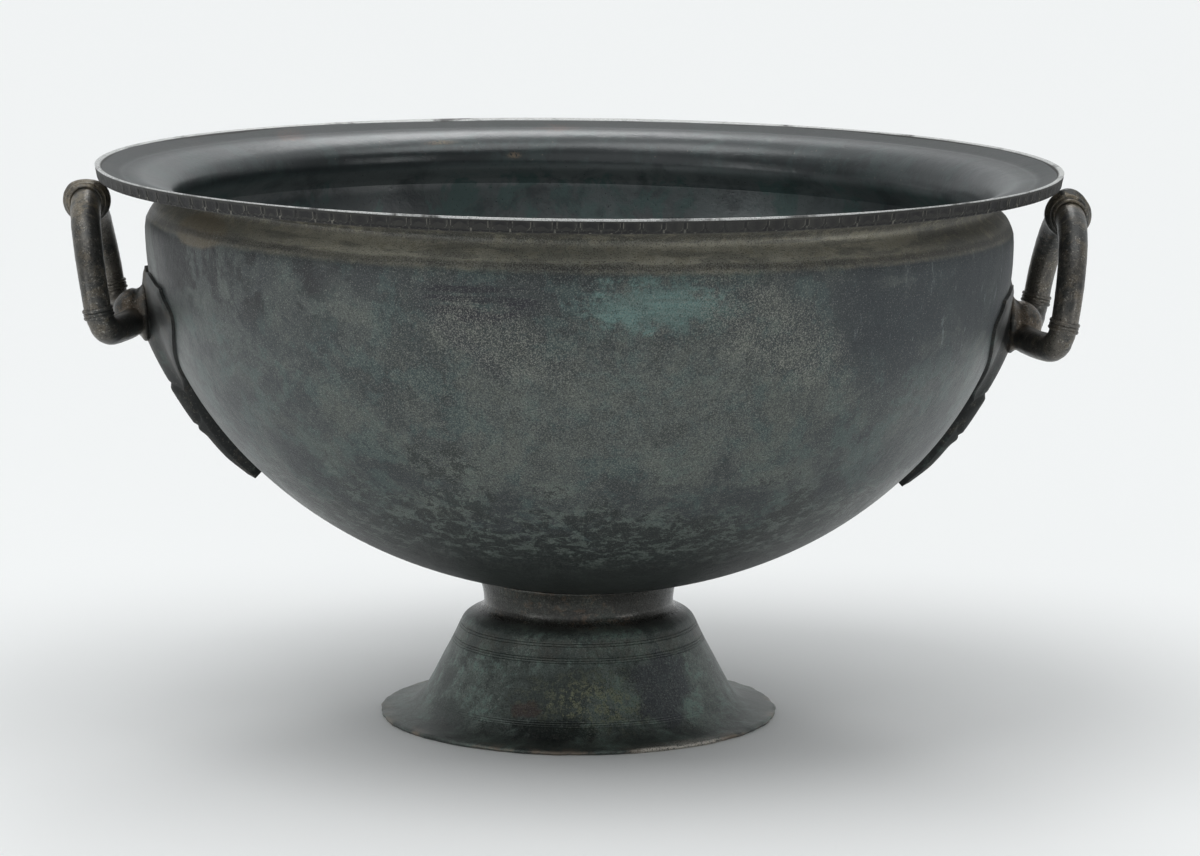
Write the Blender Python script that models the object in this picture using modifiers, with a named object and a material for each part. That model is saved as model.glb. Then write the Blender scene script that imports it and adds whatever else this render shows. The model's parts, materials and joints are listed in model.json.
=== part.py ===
"""A footed bronze basin: a deep bowl with a flaring carved lip, a separately cast
foot and two upright loop handles on leaf-shaped plates. Metres, +Z up, the origin
on the standing plane under the middle, the handles on the X axis."""

import bmesh
import bpy
from math import acos, asin, cos, exp, pi, radians, sin, sqrt
from mathutils import Matrix, Vector

# Bowl
rim_radius = 0.260
rim_height = 0.302
lip_band = 0.0070
lip_batter = 0.0010
lip_overhang = 0.0262
neck_inset = 0.0123
neck_drop = 0.0170
shoulder_drop = 0.0325
belly_drop = 0.0362
wall = 0.0026
rim_flat = 0.0140
rim_flat_drop = 0.0044

# Ornament of the lip: a row of hanging tongues parted by darts
tongue_pitch = 0.01047
dart_width = 0.0024
dart_depth = 0.0011
dart_top_margin = 0.0014

# Foot
foot_height = 0.0758
seat_radius = 0.0540
seat_width = 0.0070
seat_overlap = 0.0030
seat_roll = 0.0028
foot_neck_radius = 0.0517
foot_neck_height = 0.0635
foot_shoulder_radius = 0.0640
foot_shoulder_height = 0.0530
foot_shoulder_round = 0.0050
skirt_radius = 0.0835
skirt_height = 0.0140
skirt_hollow = 0.0008
base_radius = 0.1080
base_edge = 0.0024
foot_wall = 0.0034
base_ring = 0.0120

# Handles
crown_diameter = 0.0168
arm_diameter = 0.0147
run_diameter = 0.0154
crown_ring_diameter = 0.0256
crown_ring_width = 0.0060
crown_fillet_diameter = 0.0212
crown_fillet_width = 0.0130
crown_gap = 0.0041
arch_half_width = 0.0546
arch_rise = 0.0534
arch_lean = 0.0090
arm_standoff = 0.0275
elbow_drop = 0.0112
bead_diameter = 0.0166
bead_width = 0.0060
bead_groove = 0.0007
hub_drop = 0.0840
hub_reach = 0.0142
hub_radius = 0.0126
flange_height = 0.0325
flange_thickness = 0.0022
flange_standoff = 0.0083

# Attachment plates
plate_drop = 0.0585
plate_length = 0.1365
plate_half_width = 0.0800
plate_notch = 0.0060
plate_edge = 0.0026
rib_height = 0.0112
rib_half_width = 0.0160
tail_height = 0.0102
tail_half_width = 0.0120
bud_half_width = 0.0095
bud_length = 0.0240
bud_rise = 0.0012

# The bowl has settled on its foot: its +X side hangs lower, the lip by less, and the
# whole bowl is pushed a little toward +X, its neck by more
bowl_sag = 0.0192
lip_sag = 0.0096
bowl_shift = 0.0006
neck_shift = 0.0012
seam_gap = 0.0003

bowl_steps = 52
belly_steps = 10
floor_steps = 1
inner_step_share = 0.8
foot_steps = 24
tube_resolution = 3
arch_steps = 6
ring_steps = 12
plate_rows = 12
plate_columns = 8

# Fits worked out from the sizes above
belly_radius = rim_radius - lip_overhang
belly_height = rim_height - belly_drop
neck_radius = belly_radius - neck_inset
neck_height = rim_height - neck_drop
shoulder_height = rim_height - shoulder_drop
belly_depth = (belly_height - foot_height) / sqrt(1 - (seat_radius / belly_radius) ** 2)
shoulder_angle = asin((shoulder_height - belly_height) / belly_depth)
lip_foot = rim_height - lip_band


def blend(start, corner, end, count):
    """Points along a quadratic curve from start to end that leans to corner."""
    points = []
    for i in range(count + 1):
        t = i / count
        points.append(tuple((1 - t) ** 2 * a + 2 * t * (1 - t) * b + t * t * c
                            for a, b, c in zip(start, corner, end)))
    return points


def belly_point(angle, grow=0.0):
    """Radius and height on the bowl's elliptical belly, thickened by grow."""
    return ((belly_radius + grow) * cos(angle), belly_height + (belly_depth + grow) * sin(angle))


def belly_radius_at(height):
    """Outer radius of the belly at a height."""
    return belly_radius * sqrt(1 - ((height - belly_height) / belly_depth) ** 2)


def belly_arc(count, grow=0.0):
    """The belly from the shoulder down to the foot's seat in count steps, then on to the axis."""
    seat_angle = -acos(seat_radius / belly_radius)
    angles = [shoulder_angle + (seat_angle - shoulder_angle) * i / count for i in range(count)]
    angles += [seat_angle + (-pi / 2 - seat_angle) * i / floor_steps for i in range(floor_steps)]
    return [belly_point(angle, grow) for angle in angles] + [(0.0, belly_height - belly_depth - grow)]


def add_object(name, mesh, collection):
    item = bpy.data.objects.new(name, mesh)
    collection.objects.link(item)
    return item


def turned(name, profile, steps, collection):
    """A profile of radius and height points, turned about Z."""
    mesh = bpy.data.meshes.new(name)
    mesh.from_pydata([(r, 0.0, z) for r, z in profile],
                     [(i, i + 1) for i in range(len(profile) - 1)], [])
    item = add_object(name, mesh, collection)
    screw = item.modifiers.new("Turn", "SCREW")
    screw.steps = steps
    screw.render_steps = steps
    screw.use_merge_vertices = True
    screw.merge_threshold = 0.00001
    return item


def bake(item):
    """The object's evaluated shape, with its modifiers and its place worked in."""
    bpy.context.view_layer.update()
    evaluated = item.evaluated_get(bpy.context.evaluated_depsgraph_get())
    mesh = bpy.data.meshes.new_from_object(evaluated)
    mesh.transform(item.matrix_world)
    work = bmesh.new()
    work.from_mesh(mesh)
    bmesh.ops.remove_doubles(work, verts=work.verts, dist=0.00001)
    bmesh.ops.recalc_face_normals(work, faces=work.faces)
    work.to_mesh(mesh)
    work.free()
    mesh.materials.clear()
    solid = add_object(item.name + "_solid", mesh, item.users_collection[0])
    name = item.name
    bpy.data.objects.remove(item)
    solid.name = name
    return solid


def combine(item, other, operation):
    """Joins other to item, or cuts it away, and keeps the result on item."""
    boolean = item.modifiers.new("Combine", "BOOLEAN")
    boolean.operation = operation
    boolean.object = other
    return bake(item)


def ease(share):
    """A share from 0 to 1, kept within both and smoothed at its ends."""
    share = min(max(share, 0.0), 1.0)
    return share * share * (3 - 2 * share)


def settle(item, push=0.0):
    """Lowers each point by the bowl's sag, which eases off above the neck, and shifts it
    sideways with the bowl; the neck is pushed further."""
    for vertex in item.data.vertices:
        share = ease((vertex.co.z - neck_height) / (lip_foot - neck_height))
        neck_share = ease((vertex.co.z - belly_height) / (neck_height - belly_height)) * (1 - share)
        vertex.co.z -= vertex.co.x * (bowl_sag + (lip_sag - bowl_sag) * share)
        vertex.co.x += bowl_shift + push * neck_share
    return item


def finish(item, material):
    item.data.materials.append(material)
    item.data.shade_smooth()
    item.data.set_sharp_from_angle(angle=radians(32))


def bronze(name, colour, roughness):
    material = bpy.data.materials.new(name)
    material.use_nodes = True
    shader = material.node_tree.nodes["Principled BSDF"]
    shader.inputs["Base Color"].default_value = (*colour, 1)
    shader.inputs["Roughness"].default_value = roughness
    shader.inputs["Metallic"].default_value = 0.8
    return material


def bowl_profile():
    """The wall's outline: from the middle of the floor up the inside, over the lip,
    and down the outside to the middle of the underside."""
    throat = neck_radius - wall
    inner = belly_arc(round(belly_steps * inner_step_share), -wall)[::-1]
    inner += blend((throat + 0.45 * neck_inset, shoulder_height + 0.5 * neck_inset),
                   (throat, shoulder_height + 0.8 * neck_inset), (throat, neck_height), 2)
    inner += blend((throat, neck_height + 0.8 * wall), (throat, rim_height - rim_flat_drop),
                   (rim_radius - rim_flat, rim_height - rim_flat_drop), 2)
    outer = [(rim_radius, rim_height), (rim_radius - lip_batter, lip_foot)]
    outer += blend((rim_radius - 3 * lip_batter, lip_foot - 0.2 * wall),
                   (neck_radius + 0.1 * lip_overhang, lip_foot - 0.3 * wall), (neck_radius, neck_height), 2)
    outer += blend((neck_radius + 0.4 * neck_inset, shoulder_height + 0.75 * neck_inset),
                   (belly_radius, shoulder_height + 0.6 * neck_inset), belly_point(shoulder_angle), 2)
    return inner + outer + belly_arc(belly_steps)[1:]


def make_darts(collection):
    """Upright three-sided wedges that part the tongues, a whole number to each facet of the lip."""
    facet = 2 * pi / bowl_steps
    facet_radius = rim_radius * cos(facet / 2)
    per_facet = max(1, round(facet * rim_radius / tongue_pitch))
    top = rim_height - dart_top_margin
    bottom = lip_foot - wall
    work = bmesh.new()
    for i in range(bowl_steps * per_facet):
        middle = (i // per_facet + 0.5) * facet
        across = ((i % per_facet + 0.5) / per_facet - 0.5) * 2 * rim_radius * sin(facet / 2)
        place = (Matrix.Rotation(middle, 4, "Z")
                 @ Matrix.Translation((facet_radius + dart_depth, across, (top + bottom) / 2))
                 @ Matrix.Diagonal((2 * dart_depth, sqrt(3) * dart_width, top - bottom, 1))
                 @ Matrix.Rotation(pi / 2, 4, "Z"))
        bmesh.ops.create_cone(work, cap_ends=True, segments=3, radius1=1, radius2=1, depth=1, matrix=place)
    mesh = bpy.data.meshes.new("darts")
    work.to_mesh(mesh)
    work.free()
    return add_object("darts", mesh, collection)


def bowl_cutter(name, collection):
    """The belly grown by the seam's gap, facet for facet, to fit pieces against it."""
    profile = belly_arc(belly_steps, seam_gap)
    top = [(0.0, lip_foot), (profile[0][0], lip_foot)]
    return bake(turned(name, top + profile, bowl_steps, collection))


def make_bowl(parts, cutters):
    bowl = bake(turned("bowl", bowl_profile(), bowl_steps, parts))
    bowl = combine(bowl, make_darts(cutters), "DIFFERENCE")
    return settle(bowl, neck_shift)


def foot_profile():
    """Outer side from the seat down to the base edge, then up the hollow inside."""
    shoulder_top = foot_shoulder_height + foot_shoulder_round
    skirt_middle = ((foot_shoulder_radius + skirt_radius) / 2 - skirt_hollow / 2,
                    (foot_shoulder_height + skirt_height) / 2 - skirt_hollow)
    outer = [(seat_radius, foot_height + seat_overlap), (seat_radius, foot_height - seat_roll)]
    outer += blend((foot_neck_radius + 0.4 * seat_roll, foot_height - 2.6 * seat_roll),
                   (foot_neck_radius - 0.2 * seat_roll, foot_neck_height),
                   (foot_neck_radius + 0.2 * seat_roll, shoulder_top), 2)
    outer += blend((foot_shoulder_radius - 1.4 * foot_shoulder_round,
                    shoulder_top - 0.1 * foot_shoulder_round),
                   (foot_shoulder_radius - 0.3 * foot_shoulder_round,
                    shoulder_top - 0.2 * foot_shoulder_round),
                   (foot_shoulder_radius + 0.15 * foot_shoulder_round,
                    foot_shoulder_height - 0.5 * foot_shoulder_round), 2)
    outer += [skirt_middle]
    outer += blend((skirt_radius, skirt_height),
                   (skirt_radius + 0.2 * (base_radius - skirt_radius), 1.6 * base_edge),
                   (base_radius - base_edge, 1.1 * base_edge), 2)
    outer += [(base_radius, 0.5 * base_edge), (base_radius - 0.3 * base_edge, 0.0)]
    throat = seat_radius - seat_width
    inner = [(base_radius - base_ring, 0.0), (skirt_radius - foot_wall, skirt_height - foot_wall),
             (skirt_middle[0] - foot_wall, skirt_middle[1] - 0.4 * foot_wall),
             (foot_shoulder_radius - foot_wall, foot_shoulder_height - foot_wall),
             (throat + 0.5 * foot_wall, foot_shoulder_height), (throat, foot_neck_height),
             (throat, foot_height + seat_overlap)]
    return outer + inner + outer[:1]


def make_foot(parts, cutters):
    foot = bake(turned("foot", foot_profile(), foot_steps, parts))
    return combine(foot, settle(bowl_cutter("seat_cutter", cutters)), "DIFFERENCE")


def tube(name, points, radii, collection):
    """A round bar along points, its thickness set at each."""
    curve = bpy.data.curves.new(name, "CURVE")
    curve.dimensions = "3D"
    curve.bevel_depth = 1.0
    curve.bevel_resolution = tube_resolution
    curve.use_fill_caps = True
    spline = curve.splines.new("POLY")
    spline.points.add(len(points) - 1)
    for knot, place, radius in zip(spline.points, points, radii):
        knot.co = (*place, 1)
        knot.radius = radius
    return bake(add_object(name, curve, collection))


def ring(name, centre, direction, profile, collection):
    """A turned ring on a bar: centre and direction of the bar, radius and offset points."""
    item = turned(name, profile, ring_steps, collection)
    item.matrix_world = (Matrix.Translation(centre)
                         @ Vector(direction).to_track_quat("Z", "Y").to_matrix().to_4x4())
    return bake(item)


def handle_path():
    """Centre line of half the +X handle: the arch from the crown, the elbow, the run to the hub."""
    crown_height = lip_foot - crown_gap - crown_ring_diameter / 2
    arm_foot_height = crown_height - arch_rise
    arm_foot_radius = belly_radius_at(arm_foot_height) + arm_standoff
    run_height = arm_foot_height - elbow_drop
    hub_end = belly_radius_at(rim_height - hub_drop) + hub_reach
    elbow_end = (arm_foot_radius - 0.6 * elbow_drop, arch_half_width - 1.2 * elbow_drop, run_height)
    path = []
    for i in range(arch_steps):
        turn = pi / 2 * i / arch_steps
        path.append((arm_foot_radius + arch_lean * cos(turn), arch_half_width * sin(turn),
                     arm_foot_height + arch_rise * cos(turn)))
    path += blend((arm_foot_radius, arch_half_width, arm_foot_height),
                  (arm_foot_radius - 0.25 * elbow_drop, arch_half_width, run_height), elbow_end, 3)
    path += blend(elbow_end, (hub_end, 0.4 * arch_half_width, run_height),
                  (hub_end, 5 * seam_gap, run_height), 3)[1:]
    return path


def plate_half_width_at(share):
    """Half-width of the leaf along its length: round lobes drawn out into a long tail."""
    lobes = plate_half_width * (0.86 + 0.14 * ease(share / 0.12)) * (1 - ease((share - 0.10) / 0.56)) ** 0.9
    tail = tail_half_width * (1 - 0.45 * ease((share - 0.4) / 0.6)) if share < 1 else 0.4 * tail_half_width
    return max(lobes, tail)


def plate_lift(share, offset):
    """Height of the leaf's face over the belly: a rounded rib on a thin blade, with a bud on the rib."""
    crest = tail_height + (rib_height - tail_height) * (1 - ease((share - 0.3) / 0.3))
    fade = ease(share / 0.28 + 0.1) * (1 - 0.25 * ease((share - 0.85) / 0.15))
    crest = plate_edge + (crest - plate_edge) * fade
    reach = rib_half_width + (0.8 * tail_half_width - rib_half_width) * ease(share / 0.7)
    lift = plate_edge + (crest - plate_edge) * exp(-(offset / reach) ** 2)
    bud = ((share - 0.60) * plate_length / (bud_length / 2)) ** 2 + (offset / bud_half_width) ** 2
    return lift + bud_rise * ease(1.6 - bud)


def make_plate(collection):
    """The leaf-shaped plate on the +X side, as a loft that sinks into the belly."""
    top_angle = asin((rim_height - plate_drop - belly_height) / belly_depth)
    length_to_angle = 1 / sqrt((belly_radius ** 2 + belly_depth ** 2) / 2)
    sunk = -2 * plate_edge
    work = bmesh.new()
    knots = {}
    for i in range(plate_rows + 1):
        share = i / plate_rows
        half = plate_half_width_at(share)
        for j in range(plate_columns + 1):
            across = j / plate_columns * 2 - 1
            offset = half * abs(across) ** 1.4 * (1 if across > 0 else -1)
            notch = exp(-((abs(across) - 0.24) / 0.15) ** 2) + 0.7 * ease((abs(across) - 0.6) / 0.4)
            along = plate_length * share + plate_notch * notch * (1 - ease(share / 0.3))
            radius, height = belly_point(top_angle - along * length_to_angle)
            slope = Vector((radius / belly_radius ** 2, (height - belly_height) / belly_depth ** 2))
            slope.normalize()
            turn = offset / radius
            out = Vector((cos(turn) * slope.x, sin(turn) * slope.x, slope.y))
            base = Vector((cos(turn) * radius, sin(turn) * radius, height))
            knots["out", i, j] = work.verts.new(base + out * plate_lift(share, offset))
            knots["in", i, j] = work.verts.new(base + out * sunk)
    for i in range(plate_rows):
        for j in range(plate_columns):
            for layer in ("out", "in"):
                work.faces.new([knots[layer, a, b] for a, b in
                                ((i, j), (i, j + 1), (i + 1, j + 1), (i + 1, j))])
    last_row, last_column = plate_rows, plate_columns
    edge = [(0, j) for j in range(last_column)] + [(i, last_column) for i in range(last_row)]
    edge += [(last_row, last_column - j) for j in range(last_column)]
    edge += [(last_row - i, 0) for i in range(last_row)]
    for here, there in zip(edge, edge[1:] + edge[:1]):
        work.faces.new((knots["out", *here], knots["out", *there],
                        knots["in", *there], knots["in", *here]))
    bmesh.ops.recalc_face_normals(work, faces=work.faces)
    mesh = bpy.data.meshes.new("plate")
    work.to_mesh(mesh)
    work.free()
    return add_object("plate", mesh, collection)


def mirrored(profile):
    """A ring's outline: the given upper half, from the middle outward, and its mirror image."""
    return profile + [(radius, -height) for radius, height in profile[::-1]]


def make_handle(name, side, parts, cutters):
    """One handle: loop, crown ring, beads, hub, flange and plate, cast as one piece."""
    half_path = handle_path()
    path = [(x, -y, z) for x, y, z in half_path[:0:-1]] + half_path
    path_middle = len(half_path) - 1
    radii = []
    for i in range(len(path)):
        steps_away = abs(i - path_middle)
        arm = crown_diameter + (arm_diameter - crown_diameter) * min(steps_away / arch_steps, 1)
        radii.append((arm if steps_away <= arch_steps else run_diameter) / 2)
    handle = tube(name, path, radii, parts)

    half_ring = crown_ring_width / 2
    half_fillet = crown_fillet_width / 2
    fillet_radius = crown_fillet_diameter / 2
    crown_ring = mirrored([(0.0, half_fillet), (fillet_radius - 0.2 * half_ring, half_fillet),
                           (fillet_radius, half_ring), (crown_ring_diameter / 2, 0.5 * half_ring)])
    handle = combine(handle, ring("crown_ring", half_path[0], (0, 1, 0), crown_ring, cutters), "UNION")
    bead = mirrored([(0.0, bead_width / 2), (bead_diameter / 2 - bead_groove, bead_width / 2),
                     (bead_diameter / 2, bead_width * 0.35), (bead_diameter / 2 - bead_groove, 0.0)])
    bead.remove(bead[3])
    for mirror in (1, -1):
        direction = Vector(half_path[arch_steps + 1]) - Vector(half_path[arch_steps - 1])
        direction.y *= mirror
        x, y, z = half_path[arch_steps]
        handle = combine(handle, ring("bead", (x, y * mirror, z), direction, bead, cutters), "UNION")

    hub_height = rim_height - hub_drop
    wall_radius = belly_radius_at(hub_height)
    flange_radius = flange_height / 2
    hub_profile = blend((0.0, hub_reach + 0.9 * hub_radius), (hub_radius, hub_reach + 0.9 * hub_radius),
                        (hub_radius, hub_reach), 2)
    hub_profile += blend((hub_radius, hub_reach - 0.1 * hub_radius),
                         (hub_radius + 0.2 * flange_thickness, flange_standoff + 0.2 * flange_thickness),
                         (flange_radius - flange_thickness, flange_standoff), 2)
    hub_profile += [(flange_radius, flange_standoff - 0.2 * flange_thickness),
                    (flange_radius, flange_standoff - flange_thickness),
                    (flange_radius - flange_thickness, -flange_thickness), (0.0, -flange_thickness)]
    hub = ring("hub", (wall_radius, 0, hub_height), (1, 0, 0), hub_profile, cutters)
    handle = combine(handle, hub, "UNION")
    handle = combine(handle, make_plate(cutters), "UNION")
    handle = combine(handle, bowl_cutter("plate_cutter", cutters), "DIFFERENCE")
    if side < 0:
        handle.matrix_world = Matrix.Rotation(pi, 4, "Z")
        handle = bake(handle)
    return settle(handle)


def build():
    for item in list(bpy.data.objects):
        bpy.data.objects.remove(item)
    parts = bpy.data.collections.new("bronze_basin")
    cutters = bpy.data.collections.new("cutters")
    for collection in (parts, cutters):
        bpy.context.scene.collection.children.link(collection)
    dark = bronze("dark bronze", (0.045, 0.055, 0.055), 0.42)
    green = bronze("green-black bronze", (0.040, 0.050, 0.045), 0.48)
    warm = bronze("brown-black bronze", (0.060, 0.050, 0.040), 0.36)
    finish(make_bowl(parts, cutters), dark)
    finish(make_foot(parts, cutters), green)
    finish(make_handle("handle_right", 1, parts, cutters), warm)
    finish(make_handle("handle_left", -1, parts, cutters), warm)
    for cutter in cutters.objects:
        cutter.hide_render = True
        cutter.display_type = "WIRE"


build()
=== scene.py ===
import json
import math

import bpy
from mathutils import Matrix, Vector, noise

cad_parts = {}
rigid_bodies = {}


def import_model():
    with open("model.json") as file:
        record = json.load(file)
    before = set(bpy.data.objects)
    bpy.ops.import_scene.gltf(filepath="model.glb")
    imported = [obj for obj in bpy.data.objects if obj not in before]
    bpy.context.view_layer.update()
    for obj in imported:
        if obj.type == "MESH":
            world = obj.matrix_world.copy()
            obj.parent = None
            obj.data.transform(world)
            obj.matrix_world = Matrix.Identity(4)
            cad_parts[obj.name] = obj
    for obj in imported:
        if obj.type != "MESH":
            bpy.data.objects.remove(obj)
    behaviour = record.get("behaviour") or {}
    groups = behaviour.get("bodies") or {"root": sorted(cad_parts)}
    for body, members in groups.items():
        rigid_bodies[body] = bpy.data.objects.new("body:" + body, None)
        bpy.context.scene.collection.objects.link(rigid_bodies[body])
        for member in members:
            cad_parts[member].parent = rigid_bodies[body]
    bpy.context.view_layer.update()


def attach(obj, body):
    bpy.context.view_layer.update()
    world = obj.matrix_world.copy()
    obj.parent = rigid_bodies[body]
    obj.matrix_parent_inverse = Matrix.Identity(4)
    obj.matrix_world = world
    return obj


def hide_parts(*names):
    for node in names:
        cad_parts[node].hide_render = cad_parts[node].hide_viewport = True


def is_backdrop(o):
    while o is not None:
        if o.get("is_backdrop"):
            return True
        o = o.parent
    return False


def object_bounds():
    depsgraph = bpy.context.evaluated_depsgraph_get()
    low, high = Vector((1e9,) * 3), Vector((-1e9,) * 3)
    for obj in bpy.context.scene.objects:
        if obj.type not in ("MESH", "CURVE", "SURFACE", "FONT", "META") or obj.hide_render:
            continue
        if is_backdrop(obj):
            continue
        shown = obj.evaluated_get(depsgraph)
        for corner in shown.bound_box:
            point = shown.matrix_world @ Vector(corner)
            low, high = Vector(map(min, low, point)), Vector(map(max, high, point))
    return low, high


for item in list(bpy.data.objects):
    bpy.data.objects.remove(item)
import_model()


# The foot. A turned, spreading stand of cast bronze, hollow underneath, soldered to the
# bowl's underside. Its seat has a roll, its shoulder and skirt carry incised lines, and its
# thin base edge is worn and ragged.

def smooth_line(points, per_span):
    """A smooth line of points through the given ones."""
    line = []
    ends = [points[0]] + list(points) + [points[-1]]
    for a, b, c, d in zip(ends, ends[1:], ends[2:], ends[3:]):
        for i in range(per_span):
            t = i / per_span
            line.append(tuple(
                0.5 * (2 * q + (r - p) * t + (2 * p - 5 * q + 4 * r - s) * t ** 2
                       + (3 * q - p - 3 * r + s) * t ** 3)
                for p, q, r, s in zip(a, b, c, d)))
    return line + [tuple(points[-1])]


def turn_on_lathe(name, profile, steps, sharp=30):
    """A solid turned about the upright axis: its profile is drawn out of one point, then screwed
    round. Only edges sharper than sharp degrees stay crisp."""
    same_point = 0.000002
    bpy.ops.object.select_all(action="DESELECT")
    bpy.ops.mesh.primitive_plane_add(size=0.001, location=(0, 0, 0))
    piece = bpy.context.object
    piece.name = name
    bpy.ops.object.mode_set(mode="EDIT")
    bpy.ops.mesh.select_all(action="SELECT")
    bpy.ops.mesh.merge(type="CENTER")
    bpy.ops.transform.translate(value=(profile[0][0], 0, profile[0][1]))
    for (r, z), (next_r, next_z) in zip(profile, profile[1:]):
        bpy.ops.mesh.extrude_region_move(
            TRANSFORM_OT_translate={"value": (next_r - r, 0, next_z - z)})
    bpy.ops.object.mode_set(mode="OBJECT")
    bpy.context.scene.cursor.location = (0, 0, 0)
    bpy.ops.object.origin_set(type="ORIGIN_CURSOR")
    turn = piece.modifiers.new("Turn", "SCREW")
    turn.axis = "Z"
    turn.steps = turn.render_steps = steps
    turn.use_merge_vertices = True
    turn.merge_threshold = same_point
    bpy.ops.object.modifier_apply(modifier="Turn")
    bpy.ops.object.mode_set(mode="EDIT")
    bpy.ops.mesh.select_all(action="SELECT")
    bpy.ops.mesh.remove_doubles(threshold=same_point)
    bpy.ops.mesh.normals_make_consistent(inside=False)
    bpy.ops.object.mode_set(mode="OBJECT")
    bpy.ops.object.shade_smooth_by_angle(angle=math.radians(sharp))
    return piece


def waver(place, scale, seed=0.0):
    """Smooth noise from -1 to 1 that changes over about one part in scale of a metre."""
    return noise.noise(Vector(place) * scale + Vector((seed, 2.7 * seed, 5.1 * seed)))


def ease(share):
    """A share held between 0 and 1, slow at both ends."""
    share = min(max(share, 0.0), 1.0)
    return share * share * (3 - 2 * share)


# The belly that the seat is cut to: an ellipse turned about the axis, hanging lower toward +X.
BELLY_RADIUS = 0.2338
BELLY_HEIGHT = 0.2658
BELLY_DEPTH = 0.1953
BOWL_SAG = 0.0192

foot_outline = [
    (0.0543, 0.0800), (0.0541, 0.0772), (0.0546, 0.0756), (0.0538, 0.0735), (0.0526, 0.0700),
    (0.0520, 0.0665), (0.0517, 0.0630), (0.0521, 0.0611), (0.0533, 0.0593), (0.0562, 0.0577),
    (0.0600, 0.0558), (0.0625, 0.0538), (0.0643, 0.0510), (0.0668, 0.0455), (0.0700, 0.0390),
    (0.0738, 0.0318), (0.0778, 0.0240), (0.0812, 0.0176), (0.0842, 0.0127), (0.0872, 0.0090),
    (0.0915, 0.0058), (0.0970, 0.0040), (0.1040, 0.0028)]
foot_edge_outline = [(0.1040, 0.0028), (0.1068, 0.0025), (0.1080, 0.0014), (0.1072, 0.0002),
                     (0.1050, 0.0000)]
foot_hollow_outline = [
    (0.0960, 0.0000), (0.0900, 0.0020), (0.0850, 0.0050), (0.0808, 0.0100), (0.0740, 0.0230),
    (0.0690, 0.0330), (0.0620, 0.0460), (0.0580, 0.0510), (0.0500, 0.0530), (0.0476, 0.0560),
    (0.0470, 0.0640), (0.0470, 0.0800)]
foot_grooves = [  # the height, half width and depth of each turned line
    (0.0773, 0.0005, 0.0006), (0.0508, 0.0004, 0.0003), (0.0494, 0.0004, 0.0003),
    (0.0436, 0.0004, 0.00035), (0.0424, 0.0004, 0.0003), (0.0412, 0.0004, 0.0003),
    (0.0122, 0.0003, 0.00018), (0.0111, 0.0003, 0.00018), (0.0101, 0.0003, 0.00015)]
foot_side = smooth_line(foot_outline, per_span=4)
for at, width, depth in foot_grooves:
    above = [i for i, (r, z) in enumerate(foot_side) if z > at + width]
    below = [i for i, (r, z) in enumerate(foot_side) if z < at - width]
    (r0, z0), (r1, z1) = foot_side[above[-1]], foot_side[below[0]]
    cut = []
    for step, deep in ((1, 0.0), (0.5, 0.6), (0, 1.0), (-0.5, 0.6), (-1, 0.0)):
        z = at + step * width
        cut.append((r0 + (r1 - r0) * (z0 - z) / (z0 - z1) - 0.9 * deep * depth,
                    z - 0.2 * deep * depth))
    foot_side[above[-1] + 1:below[0]] = cut
foot_edge = smooth_line(foot_edge_outline, per_span=4)[1:]
foot_hollow = smooth_line(foot_hollow_outline, per_span=4)
foot = turn_on_lathe("turned_foot", foot_side + foot_edge + foot_hollow + foot_side[:1],
                     steps=240)
edge_top = 0.008
edge_start = 0.098
seat_start = 0.070
for vertex in foot.data.vertices:
    x, y, z = vertex.co
    r = math.hypot(x, y)
    out = 0.0005 * waver((x, y, z), 22) + 0.00012 * waver((x, y, z), 120)
    if z < edge_top and r > edge_start:
        ragged = ease((r - edge_start) / 0.010)
        out += ragged * (0.0009 * waver((x, y, 0), 60, 3) + 0.0006 * waver((x, y, 0), 190, 4))
        vertex.co.z += ragged * ease(z / 0.0025) * 0.0008 * waver((x, y, 0), 70, 5)
    if z > seat_start:
        belly = BELLY_HEIGHT - BELLY_DEPTH * math.sqrt(1 - (r / BELLY_RADIUS) ** 2) - BOWL_SAG * x
        vertex.co.z = min(vertex.co.z, belly - 0.0001)
    vertex.co.x += out * x / r
    vertex.co.y += out * y / r
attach(foot, "root")
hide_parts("foot")


class Tone:
    """A value or colour inside a finish; sums with it add Math nodes."""

    def __init__(self, finish, socket):
        self.finish = finish
        self.socket = socket

    def maths(self, operation, *values):
        return self.finish.node("ShaderNodeMath", {"operation": operation}, values)

    def __add__(self, other):
        return self.maths("ADD", self, other)

    def __sub__(self, other):
        return self.maths("SUBTRACT", self, other)

    def __rsub__(self, other):
        return self.maths("SUBTRACT", other, self)

    def __mul__(self, other):
        return self.maths("MULTIPLY", self, other)

    def __abs__(self):
        return self.maths("ABSOLUTE", self)

    __radd__ = __add__
    __rmul__ = __mul__

    def step(self, low, high):
        """0 at low, 1 at high and smooth between; low may be the larger."""
        ends = (1.0, 0.0) if low > high else (0.0, 1.0)
        return self.finish.node("ShaderNodeMapRange", {"interpolation_type": "SMOOTHSTEP"},
                                (self, min(low, high), max(low, high), *ends))


class Finish:
    """The shader nodes of a material, or of the studio's air."""

    def __init__(self, owner):
        owner.use_nodes = True
        self.tree = owner.node_tree

    def node(self, kind, settings, sockets, out=0):
        """One node: its settings first, then values or links for its sockets, by order or name."""
        made = self.tree.nodes.new(kind)
        for name, value in settings.items():
            setattr(made, name, value)
        named = sockets.items() if isinstance(sockets, dict) else enumerate(sockets)
        for key, value in named:
            if isinstance(value, Tone):
                self.tree.links.new(value.socket, made.inputs[key])
            else:
                made.inputs[key].default_value = value
        return Tone(self, made.outputs[out])


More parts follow.
